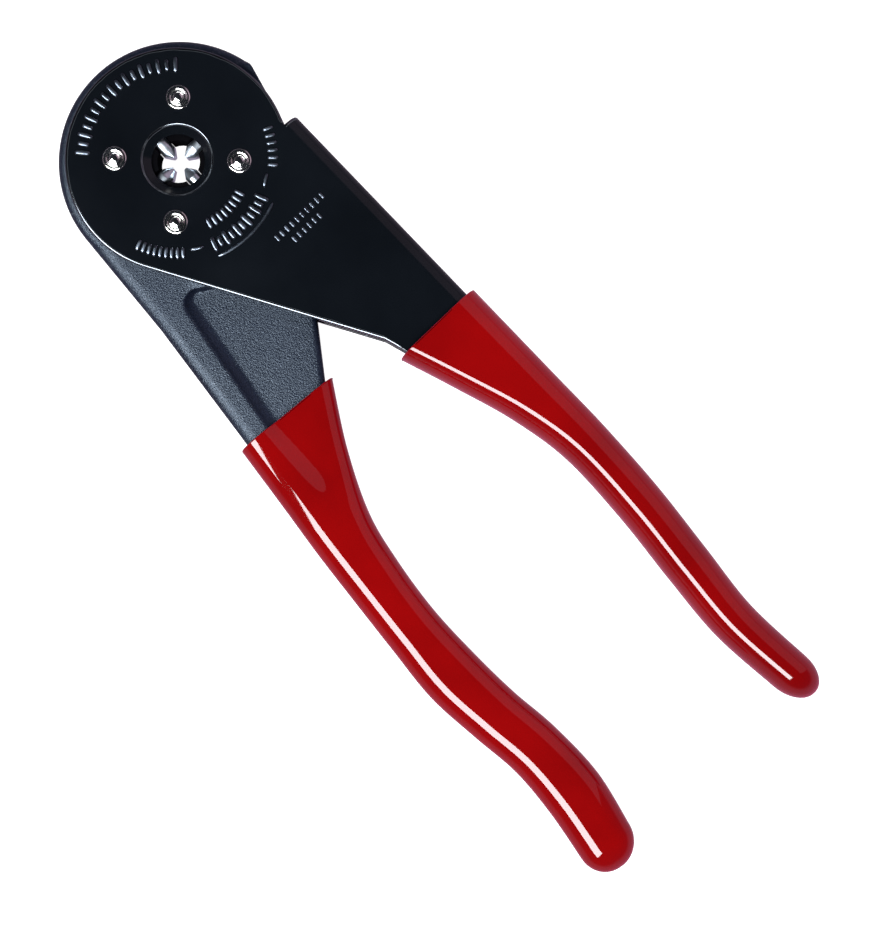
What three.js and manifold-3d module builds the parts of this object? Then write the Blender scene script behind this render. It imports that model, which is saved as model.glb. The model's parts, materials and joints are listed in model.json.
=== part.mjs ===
// Four-way indenting crimp tool, in millimetres.
//
// A ring on the end of one handle (the lever) turns round a nest of four guide blocks that are
// riveted between the two cheeks of the other handle (the frame). Four lobes inside the ring push
// four indenters towards the middle, and a small coil spring pulls each one back.
//
// The tool is drawn round its crimp axis: +X runs to the handles, +Y to the folded spine of the
// frame, and +Z out of the front cheek.
import * as THREE from "three";
import { LoftGeometry } from "three/addons/geometries/LoftGeometry.js";
import { mergeVertices } from "three/addons/utils/BufferGeometryUtils.js";
import Module from "manifold-3d";

// Clearance between two pieces that touch or slide
const GAP = 0.3;

// Frame: one sheet folded into a channel
const SHEET = 2.4;
const CHEEK_GAP = 8.6; // clear width between the cheeks
const BEND_R = 4.0; // outside radius of the two folds
const HEAD_R = 28.8;
const SPINE_Y = 29.9; // outside face of the spine beside the head
const SPINE_START_X = 12.5;
const RELIEF_R = 0.8; // relief notch at the start of the fold
const LOWER_EDGE_DEG = 29.4; // slope of the open edge, which is tangent to the head
const HEEL_X = 70; // where the open edge bends into the handle

// Nest
const NEST_R = 5.5; // bore between the guide blocks
const DISH_OUTER_R = 9.0; // dished hole through each cheek
const DISH_INNER_R = 6.9;
const JOURNAL_R = 21.7; // lands inside the lever's ring

// Rivets
const RIVET_CIRCLE_R = 16.0;
const RIVET_R = 2.1;
const RIVET_HEAD_R = 3.15;
const RIVET_HEAD_H = 0.9;
const RIVET_DIMPLE_R = 1.5;
const RIVET_DIMPLE_DEPTH = 0.7;

// Indenters and their springs
const INDENTERS = 4;
const INDENTER_W = 3.5;
const INDENTER_TIP_R = 2.15; // distance of each tip from the crimp axis at rest
const INDENTER_TIP_W = 0.9;
const INDENTER_FLANK_DEG = 36; // slope of the tip's flanks
const LUG_REACH = 3.4; // how far the spring lug stands out of the bar
const LUG_T = 1.6;
const LUG_SETBACK = 1.15; // from the nose to the lug
const SPRING_R = 1.4; // outside radius
const SPRING_WIRE_R = 0.22;
const SPRING_TURNS = 6;
const SPRING_POCKET_X = 12.9; // floor of the pocket in the guide block

// Lever
const LEVER_T = 8.0;
const LEVER_EDGE_R = 1.2; // rounding of its long edges
const RING_R = 31.35;
const CAM_REST_R = 22.9; // lobe where the nose stands at rest
const CAM_RISE = 0.095; // radial rise, mm per degree
const OPEN_DEG = 25; // swing of the lever away from rest, each way
const CLOSE_DEG = 11.5;
const STOP_FLAT = 28.5; // distance from the axis to the flat that meets the spine when open
const LUG_SWEEP_DEG = 14; // the lobe stays high over the spring lug
const LEVER_EDGE_DEG = 4.4; // fall of the outer edge, which is tangent to the ring
const LEVER_KNEE_X = 28; // where the outer edge begins to fall faster
const WEB_T = 4.4; // thin panel between the rib and the inner edge
const WEB_START_R = 33; // the hollow over the web ends at this radius
const WEB_CORNER = new THREE.Vector2(54.7, -3.1); // where the inner edge turns up to the ring
const RIB_W_AT_RING = 8.9;
const RIB_W_AT_GRIP = 7.1;
const HOLLOW_END = new THREE.Vector2(88, -30); // where the hollow runs out inside the grip

// Grips: dipped vinyl sleeves
const GRIP_WALL = 2.0;
const FRAME_GRIP_X = 76.3; // mouth of each sleeve
const LEVER_GRIP_X = 65;
const FRAME_TIP = 8.7; // length of each rounded end
const LEVER_TIP = 7.9;
const PANEL_TOP = new THREE.Vector2(LEVER_GRIP_X - 1, -13.2); // sunken panel, which starts past the mouth
const PANEL_APEX = new THREE.Vector2(84.1, -26.7);
const PANEL_BOTTOM = new THREE.Vector2(LEVER_GRIP_X - 1, -28.4);

// Handles in steel: pairs of points on the outer and the inner edge, from the mouth of the sleeve to its tip
const FRAME_RAILS = [
  { outer: [FRAME_GRIP_X, SPINE_Y], inner: [FRAME_GRIP_X, 8.2] },
  { outer: [92, SPINE_Y], inner: [92, 13.5] },
  { outer: [108, SPINE_Y], inner: [108, 18.4] },
  { outer: [125, SPINE_Y], inner: [125, 21.3] },
  { outer: [146, 29.0], inner: [146, 20.8] },
  { outer: [166, 27.0], inner: [166, 18.9] },
  { outer: [185, 25.1], inner: [185, 17.6] },
  { outer: [204.5, 26.2], inner: [204.5, 19.2] },
];
const LEVER_RAILS = [
  { outer: [LEVER_GRIP_X, -38.1], inner: [67, -12.3] },
  { outer: [83, -40.4], inner: [83, -22.1] },
  { outer: [98, -42.4], inner: [99, -29.7] },
  { outer: [113, -44.0], inner: [113, -33.0] },
  { outer: [129, -45.6], inner: [129, -35.1] },
  { outer: [145, -47.0], inner: [145, -35.4] },
  { outer: [160, -45.9], inner: [159, -34.9] },
  { outer: [174, -44.5], inner: [173, -33.5] },
  { outer: [188, -45.4], inner: [189, -33.7] },
  { outer: [202.5, -47.8], inner: [204, -37.0] },
];

// Sizes that follow
const CHEEK_Z = CHEEK_GAP / 2; // inside face of each cheek
const FACE_Z = CHEEK_Z + SHEET; // outside face of each cheek
const BLOCK_T = CHEEK_GAP - 2 * GAP;
const INDENTER_T = BLOCK_T - 2 * GAP;
const NOSE_X = CAM_REST_R - GAP;
const NECK_R = SPINE_Y - SHEET - GAP; // ring where it runs inside the spine
const STAND = GRIP_WALL + GAP; // outside of a sleeve over the steel
const WEB_Z = WEB_T / 2;
const PANEL_Z = WEB_Z + STAND;
const FAR = 400; // past every edge of the tool

const rad = THREE.MathUtils.degToRad;
const wasm = await Module();
wasm.setup();

const steelBlack = new THREE.MeshStandardMaterial({ color: 0x1b1c24, roughness: 0.42, metalness: 0.55 });
const forgedGrey = new THREE.MeshStandardMaterial({ color: 0x2e3138, roughness: 0.5, metalness: 0.6 });
const redVinyl = new THREE.MeshStandardMaterial({ color: 0xa30f10, roughness: 0.22, metalness: 0 });
const brightNickel = new THREE.MeshStandardMaterial({ color: 0xc9c8bf, roughness: 0.18, metalness: 1 });
const groundSteel = new THREE.MeshStandardMaterial({ color: 0xb9bec2, roughness: 0.28, metalness: 1 });
const darkSteel = new THREE.MeshStandardMaterial({ color: 0x3a3b3e, roughness: 0.5, metalness: 0.8 });
const springSteel = new THREE.MeshStandardMaterial({ color: 0x8d9094, roughness: 0.3, metalness: 1 });

// ---- Solids: joining and cutting ----

function toSolid(geometry) {
  const bare = new THREE.BufferGeometry();
  bare.setAttribute("position", geometry.getAttribute("position")).setIndex(geometry.index);
  const merged = mergeVertices(bare, 1e-4);
  return new wasm.Manifold(
    new wasm.Mesh({
      numProp: 3,
      vertProperties: new Float32Array(merged.attributes.position.array),
      triVerts: new Uint32Array(merged.index.array),
    }),
  );
}

function toGeometry(solid) {
  const mesh = solid.getMesh();
  const geometry = new THREE.BufferGeometry();
  geometry.setAttribute("position", new THREE.BufferAttribute(mesh.vertProperties, mesh.numProp));
  geometry.setIndex(new THREE.BufferAttribute(mesh.triVerts, 1));
  geometry.computeVertexNormals();
  return geometry;
}

// A plan outline made solid between two heights.
function slab(outline, z0, z1) {
  const geometry = new THREE.ExtrudeGeometry(new THREE.Shape(outline), { depth: z1 - z0, bevelEnabled: false });
  return toSolid(geometry.translate(0, 0, z0));
}

// The same, centred on z = 0, with its edges rounded and the whole of it grown by a margin.
function roundedSlab(outline, thickness, radius, margin = 0, bevelSegments = 2) {
  const geometry = new THREE.ExtrudeGeometry(new THREE.Shape(outline), {
    depth: thickness - 2 * radius,
    bevelThickness: radius + margin,
    bevelSize: radius + margin,
    bevelOffset: -radius,
    bevelSegments,
  });
  return toSolid(geometry.translate(0, 0, radius - thickness / 2));
}

function cylinder(radius, z0, z1, x = 0, y = 0, segments = 40) {
  const geometry = new THREE.CylinderGeometry(radius, radius, z1 - z0, segments);
  return toSolid(geometry.rotateX(Math.PI / 2).translate(x, y, (z0 + z1) / 2));
}

function box(x0, x1, y0, y1, z0, z1) {
  const geometry = new THREE.BoxGeometry(x1 - x0, y1 - y0, z1 - z0);
  return toSolid(geometry.translate((x0 + x1) / 2, (y0 + y1) / 2, (z0 + z1) / 2));
}

// ---- Plan outlines, as lists of points ----

const xy = (x, y) => new THREE.Vector2(x, y);
const pointAt = (radius, angle) => xy(radius * Math.cos(angle), radius * Math.sin(angle));

// Points on an arc, both ends included; it runs clockwise where the second angle is the smaller.
function arc(radius, from, to, centre = xy(0, 0), stepDeg = 6) {
  const steps = Math.max(2, Math.ceil(Math.abs(to - from) / rad(stepDeg)));
  return Array.from({ length: steps + 1 }, (_, i) => pointAt(radius, from + ((to - from) * i) / steps).add(centre));
}

const railPoints = (rails, side) => rails.map((pair) => xy(...pair[side]));
const smooth = (points) => new THREE.SplineCurve(points).getPoints(3 * (points.length - 1));

// Out along one edge of a handle, round its end and back along the other edge.
function handleOutline(rails, from, to) {
  const [out, back] = [railPoints(rails, from), railPoints(rails, to).reverse()];
  const middle = out.at(-1).clone().add(back[0]).multiplyScalar(0.5);
  const start = out.at(-1).clone().sub(middle).angle();
  const end = arc(out.at(-1).distanceTo(back[0]) / 2, start, start + Math.PI, middle, 20);
  return [...smooth(out), ...end.slice(1, -1), ...smooth(back)];
}

// ---- Frame ----

function frameOutline() {
  const tangent = 1.5 * Math.PI + rad(LOWER_EDGE_DEG);
  const head = arc(HEAD_R, Math.acos(SPINE_START_X / HEAD_R), tangent);
  const heelY = head.at(-1).y + (HEEL_X - head.at(-1).x) * Math.tan(rad(LOWER_EDGE_DEG));
  return [...head, xy(HEEL_X, heelY), ...handleOutline(FRAME_RAILS, "inner", "outer"), xy(SPINE_START_X, SPINE_Y)];
}

// Everything below the spine's line, moved in by an inset: long enough that only the fold is rounded.
function belowSpine(inset, thickness, radius) {
  const line = railPoints(FRAME_RAILS, "outer").map((p) => p.setY(p.y - inset));
  const back = [xy(FAR, line.at(-1).y), ...smooth(line.slice(3)).reverse(), xy(-FAR, line[0].y)];
  return roundedSlab([xy(-FAR, -FAR), xy(FAR, -FAR), ...back], thickness, radius, 0, 4);
}

function frameChannel() {
  const plan = slab(frameOutline(), -FACE_Z, FACE_Z);
  const head = plan.intersect(box(-FAR, SPINE_START_X, -FAR, FAR, -FAR, FAR));
  const folded = plan
    .intersect(box(SPINE_START_X, FAR, -FAR, FAR, -FAR, FAR))
    .intersect(belowSpine(0, 2 * FACE_Z, BEND_R));
  let frame = head.add(folded).subtract(belowSpine(SHEET, CHEEK_GAP, BEND_R - SHEET));
  frame = frame.subtract(box(-FAR, SPINE_START_X, 0, FAR, -CHEEK_Z, CHEEK_Z));
  const reliefY = Math.sqrt(HEAD_R ** 2 - SPINE_START_X ** 2);
  frame = frame.subtract(cylinder(RELIEF_R, -FAR, FAR, SPINE_START_X - RELIEF_R, reliefY, 16));
  for (const side of [-1, 1]) {
    const dish = new THREE.CylinderGeometry(DISH_OUTER_R, DISH_INNER_R, SHEET, 48);
    dish.rotateX((side * Math.PI) / 2).translate(0, 0, side * (CHEEK_Z + SHEET / 2));
    frame = frame.subtract(toSolid(dish));
  }
  frame = frame.subtract(cylinder(DISH_INNER_R, -FAR, FAR, 0, 0, 48));
  for (let i = 0; i < INDENTERS; i++) {
    const centre = pointAt(RIVET_CIRCLE_R, rad(45 + i * 90));
    frame = frame.subtract(cylinder(RIVET_R + GAP, -FAR, FAR, centre.x, centre.y, 20));
  }
  return toGeometry(frame);
}

// ---- Nest: guide blocks, rivets, indenters and springs ----

// The block in the first quadrant. Its pocket faces the indenter that lies along +X.
function guideBlock() {
  const slot = INDENTER_W / 2 + GAP;
  const pocket = INDENTER_W / 2 + LUG_REACH + GAP;
  const outer = JOURNAL_R - GAP;
  const outline = [
    ...arc(NEST_R, Math.acos(slot / NEST_R), Math.asin(slot / NEST_R), xy(0, 0), 12),
    xy(SPRING_POCKET_X, slot),
    xy(SPRING_POCKET_X, pocket),
    ...arc(outer, Math.asin(pocket / outer), Math.acos(slot / outer)),
  ];
  const centre = pointAt(RIVET_CIRCLE_R, rad(45));
  const hole = cylinder(RIVET_R + GAP, -BLOCK_T, BLOCK_T, centre.x, centre.y, 20);
  return toGeometry(slab(outline, -BLOCK_T / 2, BLOCK_T / 2).subtract(hole));
}

// A shank with a rolled head on each cheek, dimpled in the middle.
function rivet() {
  const seat = FACE_Z + GAP;
  const top = seat + RIVET_HEAD_H;
  const half = [
    [0, top - RIVET_DIMPLE_DEPTH],
    [RIVET_DIMPLE_R * 0.8, top - RIVET_DIMPLE_DEPTH],
    [RIVET_DIMPLE_R, top],
    [RIVET_HEAD_R * 0.75, top],
    [RIVET_HEAD_R, seat + RIVET_HEAD_H / 2],
    [RIVET_HEAD_R, seat],
    [RIVET_R, seat],
  ];
  const lower = half.map(([r, z]) => new THREE.Vector2(r, -z));
  const upper = half.map(([r, z]) => new THREE.Vector2(r, z)).reverse();
  return new THREE.LatheGeometry([...lower, ...upper], 20).rotateX(Math.PI / 2);
}

// A flat bar along +X with a tapered tip, a round nose for the cam and a lug for its spring.
function indenter() {
  const half = INDENTER_W / 2;
  const tip = INDENTER_TIP_W / 2;
  const shoulder = INDENTER_TIP_R + (half - tip) / Math.tan(rad(INDENTER_FLANK_DEG));
  const lugTop = NOSE_X - LUG_SETBACK;
  const nose = arc(half, -Math.PI / 2, Math.acos((half - LUG_SETBACK) / half), xy(NOSE_X - half, 0), 15);
  const outline = [
    xy(INDENTER_TIP_R, tip),
    xy(INDENTER_TIP_R, -tip),
    xy(shoulder, -half),
    ...nose,
    xy(lugTop, half + LUG_REACH),
    xy(lugTop - LUG_T, half + LUG_REACH),
    xy(lugTop - LUG_T, half),
    xy(shoulder, half),
  ];
  return toGeometry(slab(outline, -INDENTER_T / 2, INDENTER_T / 2));
}

// A coil beside the bar, from the pocket's floor to the underside of the lug.
function returnSpring() {
  const y = INDENTER_W / 2 + GAP + SPRING_R;
  const from = SPRING_POCKET_X + GAP + SPRING_WIRE_R;
  const to = NOSE_X - LUG_SETBACK - LUG_T - GAP - SPRING_WIRE_R;
  const r = SPRING_R - SPRING_WIRE_R;
  const stepsPerTurn = 10;
  const points = [];
  for (let i = 0; i <= SPRING_TURNS * stepsPerTurn; i++) {
    const angle = (i / stepsPerTurn) * 2 * Math.PI;
    const x = THREE.MathUtils.lerp(from, to, i / (SPRING_TURNS * stepsPerTurn));
    points.push(new THREE.Vector3(x, y + r * Math.cos(angle), r * Math.sin(angle)));
  }
  const wire = new THREE.Shape(arc(SPRING_WIRE_R, 0, 2 * Math.PI, xy(0, 0), 72).slice(1));
  const path = new THREE.CatmullRomCurve3(points);
  return toGeometry(toSolid(new THREE.ExtrudeGeometry(wire, { steps: points.length - 1, extrudePath: path })));
}

// ---- Lever ----

// Lands on the journal radius with four rising lobes between them.
function camOutline() {
  const low = -CLOSE_DEG - 0.5;
  const land = OPEN_DEG + LUG_SWEEP_DEG;
  const pitch = 360 / INDENTERS;
  const points = [];
  for (let at = 0; at < 360; at += pitch) {
    for (let deg = low; deg < OPEN_DEG; deg += 4) points.push(pointAt(CAM_REST_R + CAM_RISE * deg, rad(at + deg)));
    points.push(...arc(CAM_REST_R + CAM_RISE * OPEN_DEG, rad(at + OPEN_DEG), rad(at + land)));
    points.push(...arc(JOURNAL_R, rad(at + land), rad(at + pitch + low)));
  }
  return points;
}

// Height of the lever's outer edge: tangent to the ring up to the knee, then straight to the sleeve.
function outerEdgeY(x) {
  const tangent = pointAt(RING_R, 1.5 * Math.PI - rad(LEVER_EDGE_DEG));
  const kneeY = tangent.y - (LEVER_KNEE_X - tangent.x) * Math.tan(rad(LEVER_EDGE_DEG));
  const [mouthX, mouthY] = LEVER_RAILS[0].outer;
  return THREE.MathUtils.mapLinear(x, LEVER_KNEE_X, mouthX, kneeY, mouthY);
}

// The direction that the ring's flat faces: wide open, the flat stops short of the spine's lower corner.
function stopFlatAngle() {
  const corner = xy(SPINE_START_X, SPINE_Y - SHEET);
  return corner.angle() + rad(OPEN_DEG) + (2 * GAP) / corner.length() - Math.acos(STOP_FLAT / corner.length());
}

function leverOutline() {
  const stepAngle = stopFlatAngle() + Math.acos(STOP_FLAT / HEAD_R);
  const ringStart = stopFlatAngle() + Math.acos(STOP_FLAT / RING_R);
  const ring = arc(RING_R, ringStart, 1.5 * Math.PI - rad(LEVER_EDGE_DEG));
  const knee = xy(LEVER_KNEE_X, outerEdgeY(LEVER_KNEE_X));
  const neckStart = WEB_CORNER.angle() - 2 * Math.PI + Math.acos(NECK_R / WEB_CORNER.length());
  const neck = arc(NECK_R, neckStart, stepAngle);
  const stop = pointAt(HEAD_R, stepAngle);
  return [...ring, knee, ...handleOutline(LEVER_RAILS, "outer", "inner"), WEB_CORNER, ...neck, stop];
}

// The hollow over the web: between the rib and the inner edge, past the ring, running out inside the grip.
function hollowOutline(inset) {
  const ringX = Math.sqrt(WEB_START_R ** 2 / 2);
  return [
    xy(ringX, outerEdgeY(ringX) + RIB_W_AT_RING + inset),
    xy(LEVER_GRIP_X, outerEdgeY(LEVER_GRIP_X) + RIB_W_AT_GRIP + inset),
    xy(HOLLOW_END.x - 3 * inset, HOLLOW_END.y),
    xy(LEVER_RAILS[0].inner[0] - inset, LEVER_RAILS[0].inner[1]),
    xy(WEB_CORNER.x + WEB_START_R, WEB_START_R),
    xy(0, 2 * WEB_START_R),
    xy(0, 0),
  ];
}

function bothHollows(floorZ, inset) {
  const outline = hollowOutline(inset);
  const pair = slab(outline, floorZ, FAR).add(slab(outline, -FAR, -floorZ));
  return pair.subtract(cylinder(WEB_START_R + inset, -2 * FAR, 2 * FAR, 0, 0, 72));
}

function lever() {
  const blank = roundedSlab(leverOutline(), LEVER_T, LEVER_EDGE_R);
  return toGeometry(blank.subtract(slab(camOutline(), -LEVER_T, LEVER_T)).subtract(bothHollows(WEB_Z, 0)));
}

// ---- Grips ----

// A closed sleeve blank: rounded sections between the two rails, then a domed end.
function sleeveBlank(rails, halfDepth, tip, roundness) {
  const outer = new THREE.SplineCurve(railPoints(rails, "outer"));
  const inner = new THREE.SplineCurve(railPoints(rails, "inner"));
  const steps = 20;
  const domeSteps = 4;
  const around = 20;
  const sections = [];
  const addSection = (centre, across, scale) => {
    const points = [];
    for (let j = 0; j < around; j++) {
      const angle = (j / around) * 2 * Math.PI;
      const [c, s] = [Math.cos(angle), Math.sin(angle)];
      const u = Math.sign(c) * Math.abs(c) ** roundness * scale;
      const v = Math.sign(s) * Math.abs(s) ** roundness * scale;
      const z = halfDepth * v * Math.sign(across.y); // keeps every section anticlockwise
      points.push(new THREE.Vector3(centre.x + across.x * u, centre.y + across.y * u, z));
    }
    sections.push(points);
  };
  const ladder = (t) => {
    const [p, q] = [outer.getPoint(t), inner.getPoint(t)];
    const across = p.clone().sub(q).multiplyScalar(0.5);
    return { centre: p.add(q).multiplyScalar(0.5), across: across.setLength(across.length() + STAND) };
  };
  for (let i = 0; i <= steps; i++) {
    const { centre, across } = ladder(i / steps);
    addSection(centre, across, 1);
  }
  const end = ladder(1);
  const forward = end.centre.clone().sub(ladder(1 - 1 / steps).centre).setLength(tip);
  for (let i = 1; i <= domeSteps; i++) {
    const angle = (i / (domeSteps + 0.5)) * (Math.PI / 2);
    addSection(end.centre.clone().addScaledVector(forward, Math.sin(angle)), end.across, Math.cos(angle));
  }
  return toSolid(new LoftGeometry(sections, { capStart: true, capEnd: true }));
}

function frameGrip() {
  const blank = sleeveBlank(FRAME_RAILS, FACE_Z + STAND, FRAME_TIP, 0.62);
  return toGeometry(blank.subtract(roundedSlab(frameOutline(), 2 * FACE_Z, 0, GAP)));
}

function leverGrip() {
  const blank = sleeveBlank(LEVER_RAILS, LEVER_T / 2 + STAND, LEVER_TIP, 0.72);
  const steel = roundedSlab(leverOutline(), LEVER_T, LEVER_EDGE_R, GAP).subtract(bothHollows(WEB_Z + GAP, GAP));
  const panel = [PANEL_BOTTOM, PANEL_APEX, PANEL_TOP];
  const sunken = slab(panel, PANEL_Z, FAR).add(slab(panel, -FAR, -PANEL_Z));
  return toGeometry(blank.subtract(steel).subtract(sunken));
}

// ---- Assembly ----

const tool = new THREE.Group();

function place(name, geometry, material, quarterTurns = 0) {
  const mesh = new THREE.Mesh(geometry, material);
  mesh.name = name;
  mesh.rotation.z = (quarterTurns * 2 * Math.PI) / INDENTERS;
  tool.add(mesh);
  return mesh;
}

place("frame_channel", frameChannel(), steelBlack);
place("frame_grip", frameGrip(), redVinyl);
place("lever", lever(), forgedGrey);
place("lever_grip", leverGrip(), redVinyl);
const rivetAt = pointAt(RIVET_CIRCLE_R, rad(45));
for (let i = 0; i < INDENTERS; i++) {
  place(`guide_block_${i + 1}`, guideBlock(), darkSteel, i);
  place(`indenter_${i + 1}`, indenter(), groundSteel, i);
  place(`return_spring_${i + 1}`, returnSpring(), springSteel, i);
  place(`rivet_${i + 1}`, rivet().translate(rivetAt.x, rivetAt.y, 0), brightNickel, i);
}

// The part's own origin is the middle of its footprint, on the surface that it lies on.
const part = new THREE.Group();
part.add(tool);
const bounds = new THREE.Box3().setFromObject(tool, true);
const middle = bounds.getCenter(new THREE.Vector3());
tool.position.set(-middle.x, -middle.y, -bounds.min.z);

export default part;
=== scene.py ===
import json

import bmesh
import bpy
import numpy as np
from mathutils import Matrix


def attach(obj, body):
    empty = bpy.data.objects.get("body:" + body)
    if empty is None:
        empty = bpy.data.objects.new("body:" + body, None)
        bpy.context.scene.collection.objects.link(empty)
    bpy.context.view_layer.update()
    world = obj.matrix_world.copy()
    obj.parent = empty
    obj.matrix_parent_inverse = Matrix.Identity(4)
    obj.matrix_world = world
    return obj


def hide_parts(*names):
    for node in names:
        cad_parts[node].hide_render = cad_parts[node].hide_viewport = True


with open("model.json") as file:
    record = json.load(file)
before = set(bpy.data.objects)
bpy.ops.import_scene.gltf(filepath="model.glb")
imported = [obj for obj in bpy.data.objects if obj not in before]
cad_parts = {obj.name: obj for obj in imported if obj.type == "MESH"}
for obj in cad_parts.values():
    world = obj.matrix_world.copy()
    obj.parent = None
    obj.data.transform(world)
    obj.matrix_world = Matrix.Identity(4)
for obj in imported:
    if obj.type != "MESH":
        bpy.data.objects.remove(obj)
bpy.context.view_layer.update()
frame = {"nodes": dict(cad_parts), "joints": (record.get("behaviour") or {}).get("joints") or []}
scene = bpy.context.scene

# ---- Where things are ----
# The tool lies on its back cheek. Every size below is in millimetres about the crimp axis, at the
# height of the middle of the tool: +X runs to the handles and +Y to the folded spine.
crimp_axis = np.array(next(j for j in frame["joints"] if j["name"] == "lever_swing")["pos_m"], float)


def in_metres(points):
    """Points about the crimp axis, in millimetres, turned into the model's own frame in metres."""
    return crimp_axis + np.asarray(points, float) / 1000


# ---- Camera ----
# A camera straight above the middle of the tool, turned so that the handles run down to the right, and
# near enough for some perspective.
MIDDLE_X, MIDDLE_Y = 102.8, -5.0
camera = bpy.data.objects.new("camera", bpy.data.cameras.new("camera"))
scene.collection.objects.link(camera)
camera.location = in_metres([MIDDLE_X, MIDDLE_Y, 450])
camera.rotation_euler = (0, 0, np.arctan2(0.721, 0.693))
camera.data.sensor_fit = "HORIZONTAL"
camera.data.sensor_width = 36
camera.data.lens = 70.64
camera.data.clip_start = 0.01
scene.camera = camera
scene.view_settings.view_transform = "Standard"

# ---- Floor ----
# A plain white sweep, luminous so that it stays white under the tool, and left out of reflections so that
# the blackened steel stays black.
floor = bpy.data.objects.new("floor", bpy.data.meshes.new("floor"))
floor.data.from_pydata([(-3, -3, 0), (3, -3, 0), (3, 3, 0), (-3, 3, 0)], [], [(0, 1, 2, 3)])
scene.collection.objects.link(floor)
paper = bpy.data.materials.new("white_paper")
paper.use_nodes = True
paper_shader = paper.node_tree.nodes["Principled BSDF"]
paper_shader.inputs["Base Color"].default_value = (0.35, 0.35, 0.35, 1)
paper_shader.inputs["Roughness"].default_value = 0.9
paper_shader.inputs["Specular IOR Level"].default_value = 0.1
paper_shader.inputs["Emission Color"].default_value = (1, 1, 1, 1)
paper_shader.inputs["Emission Strength"].default_value = 1.0
floor.data.materials.append(paper)
floor.visible_glossy = False


# ---- Studio light ----
# Two long softboxes in a row on the lever's side, a weak one across from them, and a soft room that is
# dark overhead and paler at the horizon.
def softbox(name, place_mm, size_mm, watts, colour):
    """A rectangular area light at a point in millimetres, turned to face the tool straight across it."""
    lamp = bpy.data.lights.new(name, "AREA")
    lamp.shape = "RECTANGLE"
    lamp.size, lamp.size_y = size_mm[0] / 1000, size_mm[1] / 1000
    lamp.energy = watts
    lamp.color = colour
    box = bpy.data.objects.new(name, lamp)
    scene.collection.objects.link(box)
    box.location = in_metres(place_mm)
    aim = np.array([place_mm[0], MIDDLE_Y, 0.0]) - np.array(place_mm, float)
    aim /= np.linalg.norm(aim)
    across = np.cross(aim, [0, 1.0, 0])
    across /= np.linalg.norm(across)
    up = np.cross(across, aim)
    turn = np.eye(4)
    turn[:3, 0], turn[:3, 1], turn[:3, 2], turn[:3, 3] = across, up, -aim, in_metres(place_mm)
    box.matrix_world = Matrix(turn.tolist())
    box.visible_camera = False
    return box


softbox("key_softbox", (218, -315, 500), (364, 250), 5.9, (0.94, 0.96, 1.0))
softbox("head_softbox", (-109, -315, 500), (222, 250), 3.6, (0.94, 0.96, 1.0))
softbox("far_softbox", (90, 420, 320), (620, 500), 0.36, (1.0, 0.72, 0.9))
# A bounce from the same side, matt enough to leave no highlight of its own.
softbox("bounce", (90, 430, 330), (620, 500), 3.6, (1.0, 0.97, 0.98)).visible_glossy = False

room = bpy.data.worlds.new("room")
scene.world = room
room.use_nodes = True
sky = room.node_tree
backdrop = sky.nodes["Background"]
bearing = sky.nodes.new("ShaderNodeTexCoord")
height = sky.nodes.new("ShaderNodeSeparateXYZ")
ramp = sky.nodes.new("ShaderNodeValToRGB")
sky.links.new(bearing.outputs["Generated"], height.inputs[0])
sky.links.new(height.outputs["Z"], ramp.inputs["Fac"])
sky.links.new(ramp.outputs["Color"], backdrop.inputs["Color"])
ramp.color_ramp.elements[0].position = 0.0
ramp.color_ramp.elements[0].color = (0.34, 0.27, 0.36, 1)
ramp.color_ramp.elements[1].position = 1.0
ramp.color_ramp.elements[1].color = (0.010, 0.012, 0.016, 1)
ramp.color_ramp.elements.new(0.28).color = (0.04, 0.042, 0.05, 1)

# ---- Folded frame: the two cheeks ----
# One sheet of 2.4 mm steel folded into a channel, blanked round the head and blackened. Each cheek is
# pierced over the nest with a dished hole, and its blanked edge is lightly broken all round.
SHEET = 2.4
CHEEK_IN, CHEEK_OUT = 4.3, 6.7      # inside and outside faces of a cheek
HEAD_R = 28.8
SPINE_START = 12.5
SPINE_Y = 29.9
FOLD_R = 4.0
FOLD_Y = SPINE_Y - FOLD_R           # where the cheek begins to turn into the spine
LOWER_EDGE_DEG = 29.4
HEEL = (70.0, 6.4)
STEEL_END = 80.0                    # hidden inside the grip
DISH_RIM, DISH_FLOOR = 9.1, 6.9
DISH_LIP = 0.5                      # rounding at the dish's rim
INNER_BREAK, OUTER_BREAK = 0.3, 0.55   # how far the blanked edge's two corners are broken


def polar(radius, degrees):
    """Points on circles about the crimp axis, from radii and angles."""
    angle = np.radians(degrees)
    return np.stack([radius * np.cos(angle), radius * np.sin(angle)], -1)


def smooth_through(points, per_span):
    """A uniform Catmull-Rom curve through the points, end tangents from the end chords."""
    p = np.asarray(points, float)
    p = np.vstack([p[:1], p, p[-1:]])
    t = np.linspace(0, 1, per_span, endpoint=False)[None, :, None]
    a, b, c, d = (p[i:len(p) - 3 + i][:, None, :] for i in range(4))
    curve = 0.5 * (2 * b + (c - a) * t + (2 * a - 5 * b + 4 * c - d) * t**2 + (3 * b - a - 3 * c + d) * t**3)
    return np.vstack([curve.reshape(-1, p.shape[1]), p[-1:]])


def line(start, end, count):
    """Evenly spaced points on a straight line, without the last one."""
    return np.linspace(start, end, count, endpoint=False)


def moved_in(loop, distance):
    """A closed plan outline, anticlockwise, moved inwards along its own normals."""
    along = np.roll(loop, -1, 0) - np.roll(loop, 1, 0)
    along /= np.linalg.norm(along, axis=1)[:, None]
    inward = np.stack([-along[:, 1], along[:, 0]], -1)
    return loop + inward * np.broadcast_to(distance, len(loop))[:, None]


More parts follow.
